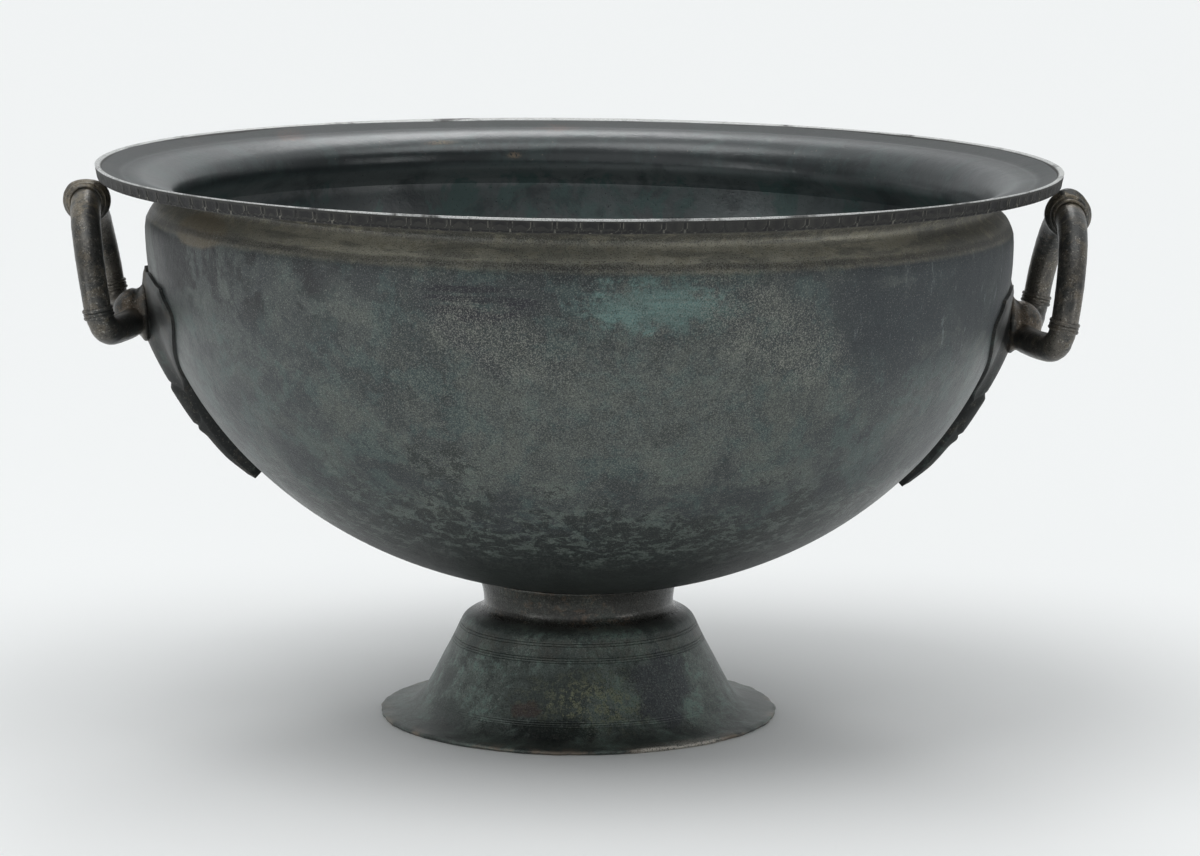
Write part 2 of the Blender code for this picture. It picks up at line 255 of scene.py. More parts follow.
class Patina(Finish):
    """A patinated bronze: its place on the piece, its noises, and a colour painted in layers."""

    def __init__(self, name, base):
        self.material = bpy.data.materials.new(name)
        super().__init__(self.material)
        self.colour = (*base, 1)
        self.shader = self.tree.nodes["Principled BSDF"]
        self.place = self.node("ShaderNodeTexCoord", {}, (), "Object")
        self.x, self.y, self.z = (self.node("ShaderNodeSeparateXYZ", {}, (self.place,), axis)
                                  for axis in "XYZ")

    def mottle(self, scale, detail, roughness, distortion=0.0, place=None):
        return self.node("ShaderNodeTexNoise", {}, {
            "Vector": place or self.place, "Scale": scale, "Detail": detail,
            "Roughness": roughness, "Distortion": distortion}, "Fac")

    def stretched(self, sizes, offset=(0, 0, 0)):
        """The place, scaled by sizes, for streaks and patches longer one way."""
        return self.node("ShaderNodeMapping", {}, {
            "Vector": self.place, "Location": offset, "Scale": sizes})

    def spot(self, centre, sizes, fray, frayed, soft=0.5, turn=0.0):
        """1 inside an ellipsoid about centre, 0 outside; fray is a mottle that eats its edge."""
        near = self.node("ShaderNodeMapping", {"vector_type": "TEXTURE"}, {
            "Vector": self.place, "Location": centre, "Scale": sizes, "Rotation": (0, turn, 0)})
        away = self.node("ShaderNodeVectorMath", {"operation": "LENGTH"}, (near,), "Value")
        away = away + (fray - 0.5) * (2 * frayed)
        return away.step(1 + soft / 2, 1 - soft / 2)

    def spots(self, places, fray, frayed, soft=0.5):
        """Several spots in one mask; each place is a centre and its sizes."""
        mask = self.spot(*places[0], fray, frayed, soft)
        for centre, sizes in places[1:]:
            mask = mask + self.spot(centre, sizes, fray, frayed, soft)
        return mask

    def paint(self, colour, amount):
        """Turns the finish's colour toward another one by amount."""
        self.colour = self.node("ShaderNodeMix", {"data_type": "RGBA"}, {
            0: amount, 6: self.colour, 7: (*colour, 1)}, 2)

    def close(self, roughness, height, relief, metallic):
        """Wires the finish to its shader; height is in units of relief metres."""
        bump = self.node("ShaderNodeBump", {}, {
            "Strength": 1.0, "Distance": relief, "Height": height})
        for name, tone in (("Base Color", self.colour), ("Roughness", roughness),
                           ("Normal", bump)):
            self.tree.links.new(tone.socket, self.shader.inputs[name])
        self.shader.inputs["Metallic"].default_value = metallic
        return self.material


green = Patina("green_black_patina", (0.056, 0.068, 0.063))
broad = green.mottle(24, 6, 0.62, 0.3)
cloud = green.mottle(75, 5, 0.74, 0.4)
fine = green.mottle(260, 4, 0.80)
speck = green.mottle(1150, 2, 0.85)
turned_marks = green.mottle(1.0, 4, 0.6, 0.0, green.stretched((12, 12, 900)))
green.paint((0.120, 0.146, 0.132), (broad * 0.5 + cloud * 0.5).step(0.44, 0.58))
verdigris = (cloud * 0.5 + fine * 0.5).step(0.51, 0.58) * broad.step(0.42, 0.54)
green.paint((0.160, 0.235, 0.205), verdigris * 0.75)
moss = green.spot((0.002, -0.078, 0.020), (0.040, 0.030, 0.017), cloud, 1.0)
green.paint((0.115, 0.128, 0.090), moss * fine.step(0.49, 0.58) * 0.75)
yellow = green.spot((0.008, -0.080, 0.021), (0.022, 0.030, 0.009), cloud, 1.2)
green.paint((0.240, 0.250, 0.150), yellow * fine.step(0.46, 0.56) * speck.step(0.44, 0.56) * 0.85)
rust = green.spot((-0.030, -0.077, 0.017), (0.008, 0.02, 0.004), cloud, 1.3)
green.paint((0.070, 0.040, 0.036), rust * 0.6)
slate = green.spot((0.044, -0.062, 0.026), (0.017, 0.030, 0.018), cloud, 1.1)
green.paint((0.055, 0.060, 0.069), slate * 0.8)
black = green.spot((-0.016, -0.085, 0.009), (0.024, 0.030, 0.005), cloud, 1.0)
green.paint((0.016, 0.021, 0.020), black * 0.8)
green.paint((0.070, 0.072, 0.068), green.z.step(0.0125, 0.0050) * fine.step(0.48, 0.58) * 0.6)
stem = green.z.step(0.0545, 0.0590)
green.paint((0.030, 0.026, 0.023), stem * 0.8)
green.paint((0.110, 0.080, 0.058), stem * fine.step(0.52, 0.60) * broad.step(0.44, 0.56) * 0.7)
shoulder = green.z.step(0.040, 0.043) * green.z.step(0.054, 0.051)
green.paint((0.060, 0.052, 0.044), shoulder * cloud.step(0.46, 0.56) * 0.5)
pale = speck.step(0.56, 0.66) * (1 - stem * 0.6) * (0.45 + 0.55 * broad.step(0.46, 0.56))
green.paint((0.230, 0.250, 0.220), pale * 0.65)
green.paint((0.010, 0.012, 0.012), speck.step(0.45, 0.34) * 0.70)
broken = green.z.step(0.0034, 0.0016) * green.mottle(48, 5, 0.7).step(0.46, 0.58)
green.paint((0.20, 0.165, 0.13), broken * 0.9)
fresh = green.spot((0.052, -0.092, 0.001), (0.026, 0.03, 0.003), cloud, 0.5)
fresh = fresh * green.z.step(0.0036, 0.0018)
green.paint((0.50, 0.47, 0.42), fresh * speck.step(0.38, 0.52))
rough = 0.28 + 0.20 * speck + 0.12 * cloud - stem * 0.18
height = broad * 0.8 + cloud * 0.35 + fine * 0.16 + speck * 0.08 + turned_marks * 0.05
foot.data.materials.append(green.close(rough, height, 0.0010, 0.40))


# The bowl. A deep vessel of thin bronze, raised and turned, with a rounded shoulder, a
# drawn-in neck and a broad lip that flares outward. It has sagged on its foot, so its +X side
# hangs lower, and its wall is uneven from long burial.

BOWL_SHIFT = 0.0006
NECK_PUSH = 0.0012
LIP_SAG = 0.0096
NECK_HEIGHT = 0.285
LIP_FOOT = 0.295


def settle(piece, push=0.0):
    """Lowers a mesh by the bowl's sag, which eases off above the neck, and shifts it sideways."""
    for vertex in piece.data.vertices:
        z = vertex.co.z
        share = ease((z - NECK_HEIGHT) / (LIP_FOOT - NECK_HEIGHT))
        neck_share = ease((z - BELLY_HEIGHT) / (NECK_HEIGHT - BELLY_HEIGHT)) * (1 - share)
        vertex.co.z -= vertex.co.x * (BOWL_SAG + (LIP_SAG - BOWL_SAG) * share)
        vertex.co.x += BOWL_SHIFT + push * neck_share


wall = 0.0026
outer_steps = 54
inner_steps = 34
outer_belly = [(BELLY_RADIUS * math.cos(a), BELLY_HEIGHT + BELLY_DEPTH * math.sin(a))
               for a in (-math.pi / 2 * (1 - i / outer_steps) for i in range(outer_steps + 1))]
inner_belly = [((BELLY_RADIUS - wall) * math.cos(a),
                BELLY_HEIGHT + (BELLY_DEPTH - wall) * math.sin(a))
               for a in (-math.pi / 2 * i / inner_steps for i in range(inner_steps + 1))]
outer_belly[0] = (0.0, outer_belly[0][1])
inner_belly[-1] = (0.0, inner_belly[-1][1])
lip_underside = smooth_line([
    (0.2334, 0.2704), (0.2319, 0.2740), (0.2296, 0.2778), (0.2264, 0.2806), (0.2234, 0.2828),
    (0.2217, 0.2850), (0.2224, 0.2876), (0.2270, 0.2904), (0.2350, 0.2927), (0.2450, 0.2940),
    (0.2540, 0.2946), (0.2576, 0.2949)], per_span=2)
lip_top = smooth_line([
    (0.2586, 0.2960), (0.2588, 0.3006), (0.2568, 0.3009), (0.2535, 0.2999), (0.2495, 0.2986),
    (0.2468, 0.2977), (0.2454, 0.2974), (0.2425, 0.2975), (0.2380, 0.2968), (0.2325, 0.2952),
    (0.2270, 0.2928), (0.2226, 0.2896), (0.2200, 0.2858), (0.2190, 0.2822), (0.2188, 0.2788),
    (0.2202, 0.2757), (0.2245, 0.2722), (0.2290, 0.2686)], per_span=3)
bowl = turn_on_lathe("turned_bowl", outer_belly + lip_underside + lip_top + inner_belly,
                     steps=288)
lip_start = 0.2860
for vertex in bowl.data.vertices:
    x, y, z = vertex.co
    r = max(math.hypot(x, y), 0.001)
    dent = 0.0005 * waver((x, y, z), 11) + 0.0002 * waver((x, y, z), 34, 2)
    dent *= ease(r / 0.08)
    vertex.co.x += dent * x / r
    vertex.co.y += dent * y / r
    if z > lip_start:
        vertex.co.z += 0.00025 * waver((x, y, 0), 26, 6) * ease((r - 0.225) / 0.02)

# The lip's carved edge: a row of small hanging tongues, each edged by a fine raised line and
# parted from the next by a dart, cut by hand, so they vary in width and are worn here and there.
TONGUES = 156
TONGUE_HALF = 0.74
TIP_START = 0.45
TIP_LENGTH = 0.36
LINE_WIDTH = 0.16
band_top = 0.3018
band_foot = 0.2945
band_back = 0.2580
band_rows = 13
band_line = [(0.25860 + 0.00135 * i / band_rows,
              band_foot + 0.0004 + (band_top - 0.0006 - band_foot) * i / band_rows)
             for i in range(band_rows + 1)]
band_line += [(0.2599, 0.3017), (0.2595, 0.3019), (0.2588, 0.3018), (0.2568, 0.3012),
              (0.2530, 0.2990), (0.2530, 0.2960), (0.2578, 0.2944)]
lip_edge = turn_on_lathe("carved_lip_edge", band_line + band_line[:1], steps=TONGUES * 14,
                         sharp=40)


def tongue_depth(across, rise):
    """How deep the band is cut, below 0 where it stands up. across is 0 on a tongue's middle and
    1 on the dart beside it, and rise is 0 at the band's foot and 1 at its top."""
    half = TONGUE_HALF
    if rise <= TIP_START:
        half *= math.sqrt(max(0.0, 1 - ((TIP_START - rise) / TIP_LENGTH) ** 2))
    past = (across - half) / LINE_WIDTH
    depth = 0.75 - 0.35 * (across / half) if past < 0 else 1.0
    if 0 <= past <= 1:
        depth = -0.25 * math.sin(math.pi * past)
    elif past > 1 and across > 0.90 and rise < 0.30:
        depth = -0.15
    return depth * (ease((0.80 - rise) / 0.08) * ease(rise / 0.06 + 0.3))


nicks = [(-0.245, 0.4), (-0.232, 0.5), (-0.238, 0.3), (0.015, 0.3),  # the turn and size of each
         (0.100, 0.9), (0.147, 0.5), (0.166, 0.4), (0.90, 0.3)]
carving = lip_edge.data.attributes.new("carving", "FLOAT", "POINT")
for vertex in lip_edge.data.vertices:
    x, y, z = vertex.co
    r = math.hypot(x, y)
    turn = math.atan2(x, -y)
    if r < band_back:
        continue
    place = (math.cos(turn) * 0.26, math.sin(turn) * 0.26, 0)
    across = turn / (2 * math.pi) * TONGUES + 0.22 * waver(place, 45, 1)
    across = abs(2 * (across - math.floor(across)) - 1)
    rise = (z - band_foot) / (band_top - band_foot)
    depth = tongue_depth(across, rise)
    worn = min(max(0.60 + 0.55 * waver(place, 9, 4) + 0.25 * waver(place, 40, 7), 0.30), 1.0)
    carving.data[vertex.index].value = depth * worn
    out = (-0.00070 * depth * worn + 0.00010 * waver((x, y, z), 260)
           - 0.00030 * math.exp(-((rise - 0.86) / 0.03) ** 2))
    for at, size in nicks:
        out -= 0.0011 * size * math.exp(-((turn - at) / 0.006) ** 2) * ease((rise - 0.75) / 0.2)
    vertex.co.x += out * x / r
    vertex.co.y += out * y / r
settle(bowl, NECK_PUSH)
settle(lip_edge, NECK_PUSH)

blue = Patina("blue_black_patina", (0.042, 0.052, 0.053))
belly_z = blue.z + blue.x * BOWL_SAG
lip_z = blue.z + blue.x * LIP_SAG
broad = blue.mottle(8, 5, 0.60, 0.4)
patchy = blue.mottle(26, 5, 0.68, 0.5)
blotch = blue.mottle(48, 5, 0.74, 0.2, blue.stretched((1, 1, 1), (3.1, 0.7, 1.9)))
small = blue.mottle(120, 4, 0.80, 0.2)
grain = blue.mottle(1350, 2, 0.9)
level = blue.mottle(1.0, 4, 0.64, 0.4, blue.stretched((26, 26, 190)))
upright = blue.mottle(1.0, 4, 0.65, 0.1, blue.stretched((260, 260, 42)))
# Painted sheen: middle marks the front of the belly, which the paints below turn lighter as a
# painted broad reflection; it also gets more grit.
middle = blue.spot((-0.005, -0.215, 0.210), (0.135, 0.09, 0.062), patchy, 0.9, 1.0)
blue.paint((0.074, 0.087, 0.083), broad.step(0.40, 0.58))
blue.paint((0.028, 0.034, 0.038), patchy.step(0.50, 0.60) * 0.75)
blue.paint((0.066, 0.102, 0.096), blotch.step(0.50, 0.58) * 0.55)
# Painted sheen: pale mottling laid over the belly's front middle.
blue.paint((0.106, 0.116, 0.094), middle * (blotch * 0.5 + small * 0.5).step(0.49, 0.43) * 0.50)
blue.paint((0.136, 0.148, 0.126), small.step(0.53, 0.62) * (0.25 + 0.75 * middle) * 0.36)
blue.paint((0.030, 0.036, 0.040), small.step(0.46, 0.40) * 0.50)
blue.paint((0.036, 0.043, 0.047), blotch.step(0.475, 0.40) * (1 - 0.4 * middle) * 0.65)
blue.paint((0.120, 0.134, 0.116), patchy.step(0.48, 0.40) * (0.4 + 0.6 * middle) * 0.38)
teal = blue.spot((0.030, -0.231, 0.2555), (0.031, 0.05, 0.0115), small, 1.6, 0.9)
blue.paint((0.130, 0.225, 0.210), teal * (0.55 + 0.45 * level.step(0.42, 0.58)) * 0.85)
runs = blue.spot((-0.056, -0.225, 0.257), (0.030, 0.05, 0.0105), patchy, 0.5, 0.6)
blue.paint((0.022, 0.023, 0.031), runs * level.step(0.46, 0.51) * 0.95)
shade = blue.spot((-0.064, -0.220, 0.236), (0.026, 0.05, 0.0045), small, 0.9, 1.0, 0.75)
blue.paint((0.032, 0.036, 0.043), shade * 0.65)
right_flank = blue.x.step(0.095, 0.150) * belly_z.step(0.200, 0.235)
blue.paint((0.024, 0.031, 0.037), right_flank * patchy.step(0.30, 0.50) * 0.85)
scratches = right_flank * upright.step(0.60, 0.66) * small.step(0.46, 0.54)
blue.paint((0.140, 0.165, 0.165), scratches * 0.6)
streaks = blue.spots((((-0.0625, -0.224, 0.2633), (0.021, 0.05, 0.0017)),
                      ((-0.0570, -0.225, 0.2584), (0.020, 0.05, 0.0019)),
                      ((-0.0680, -0.222, 0.2532), (0.014, 0.05, 0.0018))), small, 0.7, 0.8)
blue.paint((0.020, 0.022, 0.028), streaks * 0.85)
left_flank = (blue.x.step(-0.110, -0.150) * belly_z.step(0.228, 0.246)
              * (patchy * 0.6 + blotch * 0.4).step(0.44, 0.52))
blue.paint((0.018, 0.019, 0.021), left_flank * (1 - belly_z.step(0.2690, 0.2735)) * 0.92)
wander = (patchy - 0.5) * 0.115 + (small - 0.5) * 0.085
low = (belly_z + wander - blue.x * 0.02).step(0.147, 0.135)
blue.paint((0.017, 0.022, 0.021), low * 0.92)
wavy_z = belly_z + wander
flakes = wavy_z.step(0.096, 0.110) * wavy_z.step(0.166, 0.150)
flaky = small * 0.4 + 0.6 * blue.mottle(1.0, 5, 0.80, 0.5, blue.stretched((120, 120, 280)))
flakes = flakes * flaky.step(0.518, 0.540) * grain.step(0.36, 0.48)
blue.paint((0.110, 0.136, 0.120), flakes * 0.80)
blue.paint((0.015, 0.019, 0.018), (belly_z + wander * 0.15).step(0.118, 0.102) * 0.85)
flaked = blue.spots((((-0.080, -0.180, 0.170), (0.018, 0.06, 0.009)),
                     ((-0.072, -0.168, 0.147), (0.022, 0.06, 0.009))), small, 1.3, 0.7)
blue.paint((0.026, 0.032, 0.030), flaked * small.step(0.51, 0.46) * 0.75)
flake_rims = 1 - abs(small - 0.53).step(0.008, 0.026)
blue.paint((0.145, 0.165, 0.140), flaked * flake_rims * 0.65)
neck = belly_z.step(0.2700, 0.2745)
olive = neck * (0.55 + 0.45 * broad.step(0.36, 0.48)) * (0.7 + 0.3 * small.step(0.44, 0.54))
blue.paint((0.235, 0.220, 0.175), olive)
sides = abs(blue.x).step(0.110, 0.200)
blue.paint((0.062, 0.060, 0.052), olive * sides * 0.85)
# Painted light: the neck just under the lip's overhang, which the lip shades, is painted much
# paler, less so toward the sides.
painted_light_under_lip = lip_z.step(0.272, 0.278) * lip_z.step(0.2880, 0.2835)
blue.paint((0.400, 0.385, 0.315), olive * painted_light_under_lip * (1 - sides * 0.9) * 0.9)
# Painted shade: the cove right under the lip is painted darker.
blue.paint((0.068, 0.065, 0.055), neck * lip_z.step(0.2835, 0.2880) * 0.85)
blue.paint((0.235, 0.220, 0.165), neck * small.step(0.52, 0.59) * 0.60)
blue.paint((0.070, 0.072, 0.072), neck * level.step(0.53, 0.62) * 0.45)
oval = blue.spot((-0.196, -0.112, 0.2795), (0.020, 0.03, 0.0085), small, 0.25, 0.3)
blue.paint((0.155, 0.128, 0.085), oval * 0.75)
seam = 1 - abs(belly_z - 0.2745 + (patchy - 0.5) * 0.004).step(0.0006, 0.0024)
blue.paint((0.030, 0.028, 0.027), seam * 0.60)
gritty = ((0.40 + 0.60 * middle + 0.5 * neck) * (1 - low * 0.4) * (1 - right_flank * 0.6)
          * (1 - left_flank * 0.6))
blue.paint((0.250, 0.262, 0.236), (grain - (1 - gritty) * 0.07).step(0.53, 0.62) * 0.58)
dusty = (blue.spot((0.088, -0.210, 0.240), (0.045, 0.05, 0.018), patchy, 1.0, 0.8, 0.5)
         + blue.spot((-0.046, -0.222, 0.238), (0.036, 0.05, 0.015), patchy, 1.0, 0.8, 0.4))
blue.paint((0.270, 0.270, 0.235), dusty * grain.step(0.50, 0.60) * 0.55)
blue.paint((0.012, 0.015, 0.017), (grain + (1 - gritty) * 0.03).step(0.46, 0.36) * 0.75)
band = lip_z.step(0.2938, 0.2944)
carved = blue.node("ShaderNodeAttribute", {"attribute_name": "carving"}, (), "Fac")
blue.paint((0.023, 0.023, 0.022), band * 0.92)
blue.paint((0.011, 0.011, 0.012), band * carved.step(0.10, 0.45) * 0.92)
# The raised lines round the tongues are painted paler in patches: partly wear, partly a painted
# highlight on their edges.
raised = carved.step(-0.02, -0.10)
blue.paint((0.190, 0.185, 0.160), band * raised * small.step(0.40, 0.56) * 0.8)
# The lip's top edge, narrower at the flanks, gets a broken pale line: partly rubbed metal, partly a
# painted highlight on the rounded edge. It is also glossier.
rim_top_edge = (lip_z - abs(blue.x).step(0.06, 0.17) * 0.0006).step(0.3005, 0.3009)
rim_wear_and_highlight = rim_top_edge * patchy.step(0.34, 0.50) * (0.45 + 0.55 * grain.step(0.36, 0.52))
blue.paint((0.60, 0.61, 0.60), rim_wear_and_highlight * 0.92)
flank = abs(blue.x + 0.01).step(0.085, 0.170)
rough = (0.34 + 0.24 * grain + 0.14 * patchy + middle * 0.12 - low * 0.08 - rim_top_edge * 0.32
         + band * 0.20 - flank * 0.12 + right_flank * 0.16)
height = broad * 1.2 + patchy * 0.55 + small * 0.30 + grain * 0.12 + level * 0.08
bowl_finish = blue.close(rough, height, 0.0013, 0.25)
bowl.data.materials.append(bowl_finish)
lip_edge.data.materials.append(bowl_finish)

inside = Patina("blue_green_inner_patina", (0.100, 0.112, 0.115))
lip_z = inside.z + inside.x * LIP_SAG
broad = inside.mottle(13, 5, 0.6, 0.4)
cloud = inside.mottle(42, 6, 0.68, 0.5)
grit = inside.mottle(640, 2, 0.82)
upright = inside.mottle(1.0, 5, 0.6, 0.2, inside.stretched((55, 55, 9)))
inside.paint((0.155, 0.178, 0.180), broad.step(0.40, 0.60))
# Painted light: the throat under the inner roll, in the roll's shadow, is painted paler; toward +X
# it is lightened less, as painted shade under the roll.
throat = inside.z.step(0.262, 0.267) * inside.z.step(0.280, 0.276)
inside.paint((0.250, 0.260, 0.262), throat * (1 - 0.75 * inside.x.step(0.04, 0.13)) * 0.9)
roll = lip_z.step(0.276, 0.281)
inside.paint((0.020, 0.026, 0.028), roll * 0.92)
sea_green = ((cloud * 0.7 + upright * 0.3).step(0.49, 0.57)
             * (0.20 + 0.80 * inside.z.step(0.276, 0.270)))
inside.paint((0.095, 0.165, 0.155), sea_green * 0.75)
inside.paint((0.040, 0.044, 0.049), inside.mottle(30, 5, 0.70, 0.3).step(0.47, 0.66) * 0.55)
red = inside.spots((((-0.003, 0.238, 0.300), (0.016, 0.014, 0.004)),
                    ((-0.160, 0.175, 0.301), (0.009, 0.020, 0.004)),
                    ((0.167, 0.160, 0.300), (0.010, 0.020, 0.004)),
                    ((0.225, 0.037, 0.298), (0.008, 0.016, 0.004))), cloud, 0.9)
inside.paint((0.17, 0.085, 0.062), red * grit.step(0.38, 0.58) * 0.7)
tan = inside.spots((((-0.074, 0.222, 0.292), (0.010, 0.02, 0.0012)),
                    ((-0.030, 0.222, 0.284), (0.004, 0.02, 0.002))), grit, 1.6, 1.0)
inside.paint((0.26, 0.19, 0.12), tan * grit.step(0.40, 0.56) * 0.75)
inside.paint((0.21, 0.18, 0.14), grit.step(0.66, 0.72) * cloud.step(0.46, 0.60) * 0.8)
inside.paint((0.014, 0.016, 0.018), grit.step(0.36, 0.28) * 0.7)
flat = lip_z.step(0.2955, 0.2985)
inside.paint((0.030, 0.034, 0.034), flat * 0.7)
inside.shader.inputs["Specular IOR Level"].default_value = 0.9
rough = 0.19 + 0.15 * grit + 0.10 * cloud + flat * 0.30
height = broad * 1.0 + cloud * 0.35 + grit * 0.10 + upright * 0.10
bowl.data.materials.append(inside.close(rough, height, 0.0008, 0.30))
lip_level = 0.2925
floor_level = 0.12
for face in bowl.data.polygons:
    c = face.center
    inward = face.normal.x * c.x + face.normal.y * c.y < 0
    on_lip = c.z > lip_level and face.normal.z > 0.35
    on_floor = c.z < floor_level and face.normal.z > 0
    if inward or on_lip or on_floor:
        face.material_index = 1


def join(pieces, name):
    """Makes one mesh of the pieces."""
    bpy.ops.object.select_all(action="DESELECT")
    for piece in pieces:
        piece.select_set(True)
    bpy.context.view_layer.objects.active = pieces[0]
    bpy.ops.object.join()
    pieces[0].name = name
    return pieces[0]


bowl = join([bowl, lip_edge], "carved_bowl")
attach(bowl, "root")
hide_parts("bowl")


# The two handles. Each is one casting: an upright loop of round bar with a ringed crown, fine
# collars above its elbows, a hub that stands off the bowl on a flange, and a leaf-shaped plate
# with a thick rib, a bud and a long tail, soldered to the bowl below the shoulder.

def belly_radius_at(height):
    """The belly's outer radius, before it sags."""
    return BELLY_RADIUS * math.sqrt(1 - ((height - BELLY_HEIGHT) / BELLY_DEPTH) ** 2)


ARM_HEIGHT = 0.2245
ARM_SPREAD = 0.0546
ARM_FOOT = (belly_radius_at(ARM_HEIGHT) + 0.0275, ARM_SPREAD, ARM_HEIGHT)
ARCH_RISE = 0.0534
ARCH_LEAN = 0.0090
ARCH_STEPS = 36
ELBOW_STEPS = 12
HUB_HEIGHT = 0.218
HUB_CENTRE = (belly_radius_at(HUB_HEIGHT), 0.0, HUB_HEIGHT)
HUB_REACH = 0.0142


def blend(start, corner, end, count):
    """A bend of count steps from start to end, drawn toward corner."""
    return [tuple((1 - t) ** 2 * a + 2 * t * (1 - t) * b + t * t * c
                  for a, b, c in zip(start, corner, end))
            for t in (i / count for i in range(count + 1))]


def bar_line(run_height):
    """Half the loop's centre line, crown to hub, on the +X side."""
    line = []
    for i in range(ARCH_STEPS):
        turn = math.pi / 2 * i / ARCH_STEPS
        line.append((ARM_FOOT[0] + ARCH_LEAN * math.cos(turn), ARM_FOOT[1] * math.sin(turn),
                     ARM_FOOT[2] + ARCH_RISE * math.cos(turn)))
    elbow_end = (ARM_FOOT[0] - 0.0067, ARM_FOOT[1] - 0.0134, run_height)
    line += blend(ARM_FOOT, (ARM_FOOT[0] - 0.0028, ARM_FOOT[1], run_height), elbow_end,
                  ELBOW_STEPS)
    hub_end = HUB_CENTRE[0] + HUB_REACH
    line += blend(elbow_end, (hub_end, 0.4 * ARM_FOOT[1], run_height),
                  (hub_end, 0.0, run_height), ELBOW_STEPS)[1:]
    return line


def place_ring(piece, centre, direction):
    """Turns a piece made about the upright axis to direction, and sets it at centre."""
    turned = Vector(direction).to_track_quat("Z", "Y").to_matrix().to_4x4()
    piece.data.transform(Matrix.Translation(centre) @ turned)
    return piece


def ring(centre, direction, radius, thickness):
    """A fine raised ring round a bar."""
    bpy.ops.mesh.primitive_torus_add(major_radius=radius, minor_radius=thickness,
                                     major_segments=64, minor_segments=12, location=(0, 0, 0))
    return place_ring(bpy.context.object, centre, direction)


LEAF_TOP = 0.2435
LEAF_LENGTH = 0.1365
LEAF_EDGE = 0.0026
LEAF_BACK = -0.0007


def leaf_half_width(share):
    """Half the plate's width, share of the way from its top to its tail."""
    lobes = (0.080 * (0.86 + 0.14 * ease(share / 0.12))
             * (1 - ease((share - 0.10) / 0.56)) ** 0.9)
    tail = (0.012 * (1 - 0.45 * ease((share - 0.4) / 0.6))
            * (1 - 0.5 * ease((share - 0.96) / 0.04)))
    return max(lobes, tail)


def leaf_lift(share, offset):
    """How far the leaf's face stands off the belly, with its rib, its bud and the knob under it."""
    crest = 0.0102 + 0.0010 * (1 - ease((share - 0.3) / 0.3))
    crest = (LEAF_EDGE + (crest - LEAF_EDGE) * ease(share / 0.28 + 0.1)
             * (1 - 0.25 * ease((share - 0.85) / 0.15)))
    reach = 0.016 + (0.0096 - 0.016) * ease(share / 0.7)
    lift = LEAF_EDGE + (crest - LEAF_EDGE) * math.exp(-abs(offset / reach) ** 2.2)
    bud = ((share - 0.60) * LEAF_LENGTH / 0.0120) ** 2 + (offset / 0.0095) ** 2
    lift += 0.0013 * ease(1.6 - bud) - 0.0009 * math.exp(-((bud - 1.25) / 0.22) ** 2)
    knob = ((share - 0.715) * LEAF_LENGTH / 0.0035) ** 2 + (offset / 0.004) ** 2
    return (lift + 0.0012 * math.exp(-knob)
            + 0.0004 * math.exp(-((abs(offset) - 0.0002) / 0.0012) ** 2))


def make_leaf():
    """The plate: a flat grid is given a lower layer and both are wrapped on the belly."""
    bpy.ops.object.select_all(action="DESELECT")
    bpy.ops.mesh.primitive_grid_add(x_subdivisions=80, y_subdivisions=120, size=2,
                                    location=(0, 0, 0))
    leaf = bpy.context.object
    bpy.ops.object.mode_set(mode="EDIT")
    bpy.ops.mesh.select_all(action="SELECT")
    bpy.ops.mesh.extrude_region_move(TRANSFORM_OT_translate={"value": (0, 0, 1)})
    bpy.ops.object.mode_set(mode="OBJECT")
    top_angle = math.asin((LEAF_TOP - BELLY_HEIGHT) / BELLY_DEPTH)
    mean_radius = math.sqrt((BELLY_RADIUS ** 2 + BELLY_DEPTH ** 2) / 2)
    for vertex in leaf.data.vertices:
        across, length_way, layer = vertex.co
        share = (1 - length_way) / 2
        offset = leaf_half_width(share) * abs(across) ** 1.2 * (1 if across > 0 else -1)
        notch = (math.exp(-((abs(across) - 0.24) / 0.15) ** 2)
                 + 0.7 * ease((abs(across) - 0.6) / 0.4))
        along = LEAF_LENGTH * share + 0.006 * notch * (1 - ease(share / 0.3))
        angle = top_angle - along / mean_radius
        r, z = BELLY_RADIUS * math.cos(angle), BELLY_HEIGHT + BELLY_DEPTH * math.sin(angle)
        slope = Vector((r / BELLY_RADIUS ** 2, (z - BELLY_HEIGHT) / BELLY_DEPTH ** 2)).normalized()
        turn = offset / r
        out = Vector((math.cos(turn) * slope.x, math.sin(turn) * slope.x, slope.y))
        edge = min(1 - abs(across), share * 1.4, (1 - share) * 1.4)
        lift = leaf_lift(share, offset) - 0.0008 * (1 - ease(edge / 0.05))
        if layer < 0.5:
            lift = LEAF_BACK
        base = Vector((math.cos(turn) * r, math.sin(turn) * r, z))
        vertex.co = base + out * (lift + 0.0002 * waver(base, 60) * layer)
    bpy.ops.object.mode_set(mode="EDIT")
    bpy.ops.mesh.select_all(action="SELECT")
    bpy.ops.mesh.normals_make_consistent(inside=False)
    bpy.ops.object.mode_set(mode="OBJECT")
    bpy.ops.object.shade_smooth_by_angle(angle=math.radians(40))
    return leaf


